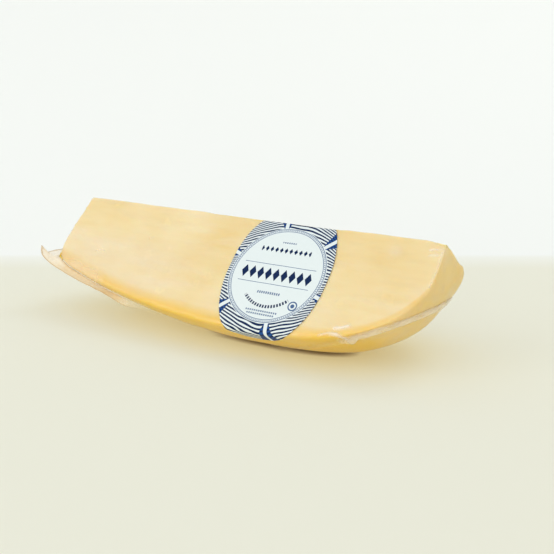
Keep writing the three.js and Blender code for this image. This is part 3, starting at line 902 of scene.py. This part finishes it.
def lozenges(tree, pitch, half_u, middle_v, half_v, reach):
    """A row of upright diamonds, one at the middle and the others a pitch apart."""
    aside = calc(tree, "PINGPONG", u, pitch / 2)
    above = calc(tree, "ABSOLUTE", calc(tree, "SUBTRACT", v, middle_v))
    slope = calc(tree, "MULTIPLY_ADD", above, half_u / half_v, aside)
    inside = calc(tree, "LESS_THAN", slope, half_u)
    return combine(tree, "MULTIPLY", [inside, bar(tree, reach, middle_v, half_v)])


def dashes(tree, along, pitch, share):
    """1 on the printed part of each dash."""
    step = calc(tree, "PINGPONG", along, pitch / 2)
    return calc(tree, "LESS_THAN", step, share * pitch / 2)


print("print map", flat.node.uv_map)

# %% Label print: navy diamonds and dashes in the ring
arc = combine(tree, "MULTIPLY", [
    near(tree, radius_out, middle=21.8, half=1.0),
    near(tree, turn, middle=-math.pi / 2, half=math.radians(44)),
    dashes(tree, turn, pitch=math.radians(5.0), share=0.6)])
navy_in_ring = combine(tree, "MAXIMUM", [
    lozenges(tree, pitch=5.6, half_u=2.35, middle_v=-0.4, half_v=4.3, reach=25),
    lozenges(tree, pitch=3.4, half_u=1.25, middle_v=16.4, half_v=1.9, reach=17.5), arc])
print("nodes for the navy print", len(tree.nodes))

# %% Label print: thin lines in the ring, and the ring
small_rows = combine(tree, "MULTIPLY", [
    combine(tree, "MAXIMUM", [bar(tree, *row) for row in SMALL_ROWS]),
    dashes(tree, u, pitch=1.5, share=0.55)])
seal_at = add(tree, "VectorMath", {0: flat, 1: SEAL}, operation="DISTANCE").outputs["Value"]
seal = combine(tree, "MAXIMUM", [
    near(tree, seal_at, middle=2.7, half=0.4),
    calc(tree, "LESS_THAN", seal_at, 1.3)])
beads = combine(tree, "MULTIPLY", [
    near(tree, radius_out, middle=RING - 0.85, half=0.28),
    dashes(tree, turn, pitch=math.radians(2.5), share=0.5)])
grey_in_ring = combine(tree, "MAXIMUM", [
    *[bar(tree, *rule) for rule in RULES], small_rows, seal, beads,
    near(tree, radius_out, middle=RING, half=0.24),
    near(tree, radius_out, middle=RING - 1.7, half=0.2)])
print("nodes for the ring and what stands in it", len(tree.nodes))

# %% Label print: striped border
# A wave node at scale 1 repeats every 2 pi / 20 of its units.
from_gap = calc(tree, "PINGPONG", calc(tree, "SUBTRACT", turn, FIRST_GAP), SECTOR / 2)
from_gap = calc(tree, "MULTIPLY", from_gap, radius_out)
curl = calc(tree, "MULTIPLY", v, 1 / STRIPES_CURL_FROM)
curl = add(tree, "Clamp", {"Value": curl, "Min": -1.0, "Max": 1.0})
aside = calc(tree, "MULTIPLY", calc(tree, "POWER", u, 2.0), STRIPES_CURL)
level = calc(tree, "MULTIPLY_ADD", aside, curl, v)
curled = add(tree, "CombineXYZ", {"X": u, "Y": level})
waves = add(tree, "TexWave", {"Vector": curled, "Scale": 2 * math.pi / 20 / STRIPE_PITCH,
                              "Distortion": 9.0, "Detail": 1.0, "Detail Scale": 0.38},
            wave_type="BANDS", bands_direction="Y").outputs["Fac"]
stripes = calc(tree, "GREATER_THAN", waves, 0.5)
past_ring = calc(tree, "SUBTRACT", radius_out, RING)
tips = calc(tree, "LESS_THAN", from_gap,
            calc(tree, "MULTIPLY_ADD", past_ring, TIP_SPREAD, GAP_HALF))
off_gap = calc(tree, "GREATER_THAN", from_gap, GAP_HALF)
outside = calc(tree, "GREATER_THAN", radius_out, RING + BORDER_GAP)
border = combine(tree, "MULTIPLY", [combine(tree, "MAXIMUM", [stripes, tips]), off_gap, outside])
print("nodes with the border", len(tree.nodes))

# %% Label print: put together
fibre = add(tree, "TexNoise", {"Vector": add(tree, "TexCoord").outputs["Object"], "Scale": every(0.4),
                               "Detail": 3.0})
ink_blue = blend(tree, calc(tree, "MULTIPLY", tips, waves), INK_NAVY, INK_BLUE)
layer = blend(tree, border, PAPER_WHITE, ink_blue)
layer = blend(tree, grey_in_ring, layer, INK_GREY)
layer = blend(tree, navy_in_ring, layer, INK_NAVY)
rough = remap(tree, fibre, low=0.42, high=0.55)
grain = add(tree, "Bump", {"Height": fibre, "Strength": 0.25, "Distance": 0.05 * MM})
shader = add(tree, "BsdfPrincipled", {"Base Color": layer, "Roughness": rough,
                                      "Specular IOR Level": 0.12, "Normal": grain})
add(tree, "OutputMaterial", {"Surface": shader})
finish(paper, label)

# %% [markdown]
# ## Studio
# One sheet of pale board serves as floor and backdrop: it lies flat, then bends up in a wide
# curve, so there is no corner behind the cheese. The board is matt. Its flat part glows a little
# in a warm tone, which stands for the light that a pale table throws about and keeps the shadows
# light, and a painted contact shadow makes it darker and browner where something is within a few
# millimetres above it.

# %% Floor and backdrop
FLOOR_FRONT, FLOOR_END, WALL_TOP, FLOOR_WIDTH = -6.0, 0.15, 3.5, 12.0  # metres, as all here
BEND_RADIUS, BEND_STEPS = 1.5, 48
board_chain = [Vector((0, FLOOR_FRONT, 0)), Vector((0, FLOOR_END, 0))]
for k in range(1, BEND_STEPS + 1):
    climb = math.pi / 2 * k / BEND_STEPS
    board_chain.append(Vector((0, FLOOR_END + BEND_RADIUS * math.sin(climb),
                               BEND_RADIUS * (1 - math.cos(climb)))))
board_chain.append(Vector((0, FLOOR_END + BEND_RADIUS, WALL_TOP)))
floor = draw_chain("floor_board", board_chain)
bpy.ops.mesh.select_all(action="SELECT")
bpy.ops.mesh.extrude_region_move(TRANSFORM_OT_translate={"value": (FLOOR_WIDTH, 0, 0)})
bpy.ops.mesh.select_all(action="SELECT")
bpy.ops.transform.translate(value=(-FLOOR_WIDTH / 2, 0, 0))
bpy.ops.transform.rotate(value=-AZIMUTH, orient_axis="Z", center_override=(0, 0, 0))
bpy.ops.object.mode_set(mode="OBJECT")
bpy.ops.object.shade_smooth()
print("board", floor.dimensions)

# %% Board material
WARM_FLOOR, WARM_GLOW = (0.43, 0.51, 0.54, 1), (0.37, 0.29, 0.14, 1)  # linear colours
# the first colour here is the painted contact shadow under the cheese, the second is no glow
PAINTED_CONTACT_SHADOW, NO_GLOW = (0.32, 0.22, 0.10, 1), (0, 0, 0, 1)
board, tree = new_material("pale_board_matt")
height = add(tree, "SeparateXYZ", {0: add(tree, "TexCoord").outputs["Object"]}).outputs["Z"]
rise = remap(tree, height, start=0.2 * MM, end=1.2 * MM)
# how open the floor is above each point, from ambient occlusion; it drives the painted contact shadow
open_floor = add(tree, "AmbientOcclusion", {"Distance": 4 * MM}, samples=8).outputs["AO"]
open_floor = remap(tree, open_floor, end=0.5)
shade = blend(tree, rise, WARM_FLOOR, from_hex("#F4F6F2"))
# painted contact shadow: within a few millimetres of the cheese the board turns dark brown and its
# glow is dimmed
shade = blend(tree, open_floor, PAINTED_CONTACT_SHADOW, shade)
glow = blend(tree, rise, WARM_GLOW, NO_GLOW)
glow = add(tree, "VectorMath", {0: glow, "Scale": open_floor}, operation="SCALE")
shader = add(tree, "BsdfPrincipled", {"Base Color": shade, "Roughness": 0.9,
                                      "Emission Color": glow, "Emission Strength": 1.0})
add(tree, "OutputMaterial", {"Surface": shader})
finish(board, floor)

# %% [markdown]
# ## Light
# A bright even surround gives the very soft look of a room with pale walls. Three large round
# lamps shape the cheese on top of it: a window at the upper left, a low warm one from the right
# that fills the front face, and a weak one from behind that separates the ridge from the wall.

# %% Light
world = bpy.data.worlds.new("soft_surround")
bpy.context.scene.world = world
world.use_nodes = True
world.node_tree.nodes["Background"].inputs["Color"].default_value = from_hex("#FAFCFF")
world.node_tree.nodes["Background"].inputs["Strength"].default_value = 0.82
for name, lamp_from, size, energy, tint in (
        ("window", Vector((-1.1, -1.9, 1.1)), 1.8, 13.5, "#FFFFFF"),
        ("low_fill", Vector((0.95, -2.0, 0.32)), 1.4, 9.5, "#FFF1D6"),
        ("back_fill", Vector((0.5, 1.1, 1.6)), 1.0, 5.0, "#FFFFFF")):
    bpy.ops.object.light_add(type="AREA", location=lamp_from)
    lamp = bpy.context.object
    lamp.name = name
    lamp.rotation_euler = (-lamp_from).to_track_quat("-Z", "Y").to_euler()
    lamp.data.shape = "DISK"
    lamp.data.size = size
    lamp.data.energy = energy
    lamp.data.color = from_hex(tint)[:3]
    print(name, "shines from", lamp_from)
bpy.context.scene.view_settings.view_transform = "Standard"

# %% [markdown]
# ## Hand the pieces to the frame
# The pack is one body, so all four pieces ride on its root. The frame's own solids for the
# wrapped wedge, the seam and the label are hidden.

# %% Frame
for piece, slot in ((cheese, "cheese_in_film"), (film, "cheese_in_film"),
                    (seam, "seam_film"), (label, "label_paper")):
    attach(piece, "root")
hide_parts("wrapped_wedge")
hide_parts("wrapped_wedge")
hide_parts("film_seam")
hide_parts("label")
print("triangles", {piece.name: sum(len(face.vertices) - 2 for face in piece.data.polygons)
                    for piece in (cheese, film, seam, label)})
